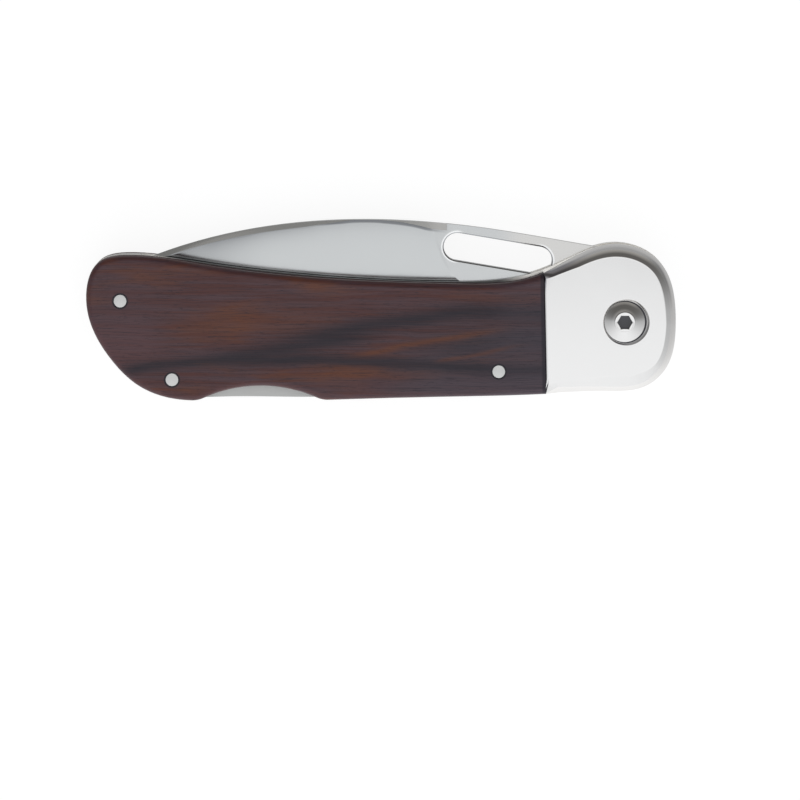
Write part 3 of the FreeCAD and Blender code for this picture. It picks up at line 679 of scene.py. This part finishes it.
def bolsterRows(look):
    # the bevel's rows from the wall in to the crease, closed by straight rows along the seam, and each
    # point's fall below the face: the profile times the bevel's width, less near the seam and least
    # along it
    path, width, inward, free = bolsterEdge(look)
    across, down = (column[::-1, None] for column in bevelProfile(look))
    rows = path + inward * ((1.0 - across) * width)[..., None]
    rows[..., 0] += (1.0 - across) * look["seamEase"] * (1.0 - free)
    share = np.linspace(0.0, 1.0, look["seamStations"] + 2)[1:-1]
    closing = rows[:, -1:, :] + share[:, None] * (rows[:, :1, :] - rows[:, -1:, :])
    lowRun, highRun, least = look["seamTaper"]
    number = np.arange(len(path))
    fromSeam = np.clip(np.minimum(number / lowRun, number[::-1] / highRun), 0.0, 1.0)
    edgeFall = np.minimum(width, look["fallMost"]) * (least + (1.0 - least) * fromSeam)
    inside = np.clip(np.minimum(share, 1.0 - share) / look["cornerShare"], 0.0, 1.0)
    inside = inside * inside * (3.0 - 2.0 * inside)
    cornerFall = edgeFall[-1] + share * (edgeFall[0] - edgeFall[-1])
    seamFall = (1.0 - inside) * cornerFall + inside * look["seamFall"]
    return np.concatenate([rows, closing], axis=1), down * np.concatenate([edgeFall, seamFall])


def makeBolster(name, node, look, hub, front, material):
    # rings from the inner face over the wall, bevel and crown to the hub's rows, and back to the inner face;
    # the rows of the face run straight from the crease to the hub
    centre = boxOf("pivot_screw")[0][:2]
    low, high = boxOf(node)[1:]
    base, top = (low[2], high[2]) if front else (high[2], low[2])
    up = 1.0 if front else -1.0

    def crowned(points):
        # drop of the face: grows with the square of the distance from the pivot, outside a flat hub
        beyond = np.maximum((points**2).sum(-1) - look["flatHub"]**2, 0.0)
        return look["crown"] * beyond / (look["crownReach"]**2 - look["flatHub"]**2)

    def levelled(points, level):
        return np.concatenate([points, np.broadcast_to(level, points.shape[:-1])[..., None]], axis=-1)

    rows, fall = bolsterRows(look)
    rim = rows[-1]
    hubCentre = np.array(hub[0][2:])
    angle = np.arctan2(*(rim - hubCentre).T[::-1])
    turn = np.stack([np.cos(angle), np.sin(angle)], axis=-1)
    share = np.array(look["faceShares"])[:, None, None]
    face = rim + share * (hubCentre + hub[0][0] * turn - rim)
    foot = levelled(rows[:1], base)
    bevel = levelled(rows, top - up * (crowned(rim) + fall))
    holes = [levelled(np.array([x, y]) + radius * turn, top - up * depth) for radius, depth, x, y in hub]
    holes.append(levelled(holes[-1][:, :2], base))
    rings = np.concatenate([foot, bevel, levelled(face, top - up * crowned(face)), np.array(holes), foot])
    rings[..., :2] += centre
    ringPiece(name, rings, material, "handle", node)


# painted shade on the front bolster; a disc is its centre from the pivot, its radius and half its soft edge
counterbore = dict(gap=((0.2, -0.08), 4.02, 0.05), lip=((0.33, -0.1), 4.36, 0.04),
                   light=((0.1, 0.2), 4.3, 0.1), lipDepth=0.7, gapShadeTone=(0.05, 0.05, 0.055),
                   bandLow=(11.9, 12.5), bandHigh=(13.42, 13.5, 1.0, 0.0),
                   cornerRun=(33.5, 40.5, 0.75, 0.0), cornerRise=(3.0, 5.0), cornerShadeTone=(0.25, 0.24, 0.28))


def bolsterFinish(look):
    # polished steel with painted shade down in the counterbore's gap, on the side of its lip away from the
    # light, and in the bevel close to the seam's upper corner
    material = steel("polishedFrontBolster", polished)
    tree, shader, place = opened(material)
    pivot = boxOf("pivot_screw")[0][:2]

    def disc(centre, radius, soft):
        return around(tree, place, pivot + np.array(centre), radius - soft, radius + soft)

    # painted shade in the counterbore's gap and on the lip's side away from the light
    gap = disc(*look["gap"])
    crescent = times(tree, disc(*look["lip"]), less(tree, 1.0, disc(*look["light"])))
    retint(tree, shader, atLeast(tree, gap, times(tree, crescent, look["lipDepth"])), look["gapShadeTone"])
    # painted shade in the bevel near the seam's upper corner
    band = times(tree, ranged(tree, place[2], *look["bandLow"]), ranged(tree, place[2], *look["bandHigh"]))
    run = ranged(tree, place[0], *look["cornerRun"])
    corner = times(tree, run, ranged(tree, place[1], *look["cornerRise"]))
    retint(tree, shader, times(tree, corner, band), look["cornerShadeTone"])
    return material


frontPolish = bolsterFinish(counterbore)
makeBolster("frontBolsterBevelled", "front_bolster", bolster, bolster["frontHub"], True, frontPolish)
rearPolish = finishes["bolster_steel"]
makeBolster("rearBolsterBevelled", "rear_bolster", bolster, bolster["rearHub"], False, rearPolish)
makeScrew(screw, screwFinish(screw))
makeSpring(leaf, finishes["spring_steel"])
for node in pinNodes:
    makePin(node, pinHead, finishes["pin_steel"])
print("bolsters, screw, spring and pins made")


# stage: camera at the photograph's angle, pale floor, soft light; lengths are in metres here
view = dict(tilt=math.radians(5.0), lens=250.0, frameWidth=0.1509, aim=(0.00356, -0.01673, 0.0143),
            clipEnd=20.0)


def makeCamera(look):
    data = bpy.data.cameras.new("camera")
    data.lens = look["lens"]
    data.clip_end = look["clipEnd"]
    distance = look["frameWidth"] * data.lens / data.sensor_width
    camera = bpy.data.objects.new("camera", data)
    offset = Vector((0.0, math.sin(look["tilt"]), math.cos(look["tilt"]))) * distance
    camera.location = Vector(look["aim"]) + offset
    camera.rotation_euler = (-look["tilt"], 0.0, 0.0)
    bpy.context.scene.collection.objects.link(camera)
    bpy.context.scene.camera = camera


sky = dict(overhead=1.07, side=0.5, dim=0.12, fade=0.25, swing=0.47, bend=0.08, nearest=0.001,
           glowBearing=(0.6, 0.95, 0.22, 0.38), glowUpTo=0.5, lift=0.45, topUpTo=-0.15, sideFrom=0.55,
           seen=0.9, tint=(0.97, 0.985, 1.0), warm=(1.0, 0.965, 0.91),
           dipAt=0.0, dipWidth=0.05, dipDepth=0.28)


def sideTone(tree, aside, across, look):
    # brightness of a side by its bearing: dim beyond the blade, middling at both ends, bright toward the
    # back; also the glow low on that side, the distance out and the bearing
    reach = lengthOf(tree, aside, across)
    bearing = sums(tree, "DIVIDE", across, atLeast(tree, reach, look["nearest"]))
    front = timesPlus(tree, dying(tree, bearing, look["fade"]), look["side"] - look["dim"], look["dim"])
    back = sums(tree, "MINIMUM", bearing, 0.0)
    rise = times(tree, timesPlus(tree, back, look["bend"], -look["swing"]), back)
    glow = ranged(tree, bearing, *look["glowBearing"])
    return sums(tree, "ADD", front, rise), glow, reach, bearing


ground = dict(size=4.0, level=-0.0002, tone=(0.2, 0.2, 0.2), rough=0.9, glow=0.88, glowTone=(1.0, 1.0, 1.0),
              lit=0.15, knifeHalf=0.05, nearTone=0.55, mirrorFade=(0.02, 0.075))


def makeFloor(look, light):
    # the camera sees an even pale floor; polished steel mirrors it in the tone of that side, lighter
    # close by
    half = look["size"] / 2
    corners = [(x * half, y * half, look["level"]) for x, y in ((-1, -1), (1, -1), (1, 1), (-1, 1))]
    mesh = bpy.data.meshes.new("floor")
    mesh.from_pydata(corners, [], [(0, 1, 2, 3)])
    floor = bpy.data.objects.new("floor", mesh)
    bpy.context.scene.collection.objects.link(floor)
    material, tree, shader = newMaterial("paleFloor")
    feed(tree, shader.inputs["Base Color"], look["tone"])
    feed(tree, shader.inputs["Roughness"], look["rough"])
    feed(tree, shader.inputs["Emission Color"], look["glowTone"])
    along, across = parted(tree, addNode(tree, "ShaderNodeTexCoord").outputs["Object"])[:2]
    aside = atLeast(tree, less(tree, sums(tree, "ABSOLUTE", along), look["knifeHalf"]), 0.0)
    far, haze, reach = sideTone(tree, aside, across, light)[:3]
    far = atLeast(tree, far, haze)
    near = atLeast(tree, far, look["nearTone"])
    mirrored = timesPlus(tree, ranged(tree, reach, *look["mirrorFade"]), less(tree, far, near), near)
    mirrored = atLeast(tree, less(tree, mirrored, look["lit"]), 0.0)
    seen = addNode(tree, "ShaderNodeLightPath").outputs["Is Camera Ray"]
    glow = timesPlus(tree, seen, look["glow"], times(tree, mirrored, less(tree, 1.0, seen)))
    feed(tree, shader.inputs["Emission Strength"], glow)
    mesh.materials.append(material)


def makeWorld(look):
    # sky brightness: from overhead to the side's tone over the direction's lean, with a faint dip overhead
    # and a glow along the horizon
    world = bpy.data.worlds.new("studio")
    bpy.context.scene.world = world
    world.use_nodes = True
    tree = world.node_tree
    background = tree.nodes["Background"]
    aside, across, up = parted(tree, addNode(tree, "ShaderNodeTexCoord").outputs["Generated"])
    side, haze, lean, bearing = sideTone(tree, aside, across, look)
    low = ranged(tree, up, 0.0, look["glowUpTo"], 1.0, 0.0)
    side = atLeast(tree, side, times(tree, low, haze))
    leant = ranged(tree, timesPlus(tree, up, -look["lift"], lean), look["topUpTo"], look["sideFrom"])
    tone = timesPlus(tree, leant, less(tree, side, look["overhead"]), look["overhead"])
    dip = bell(tree, sums(tree, "DIVIDE", less(tree, across, look["dipAt"]), look["dipWidth"]))
    dip = times(tree, dip, less(tree, 1.0, leant))
    tone = times(tree, tone, timesPlus(tree, dip, -look["dipDepth"], 1.0))
    seen = addNode(tree, "ShaderNodeLightPath").outputs["Is Camera Ray"]
    feed(tree, background.inputs["Strength"], atLeast(tree, tone, times(tree, seen, look["seen"])))
    warmth = times(tree, leant, atLeast(tree, bearing, 0.0))
    feed(tree, background.inputs["Color"], mixed(tree, warmth, look["tint"], look["warm"]))


makeCamera(view)
makeFloor(ground, sky)
makeWorld(sky)
bpy.context.scene.view_settings.view_transform = "Standard"
print("stage set")
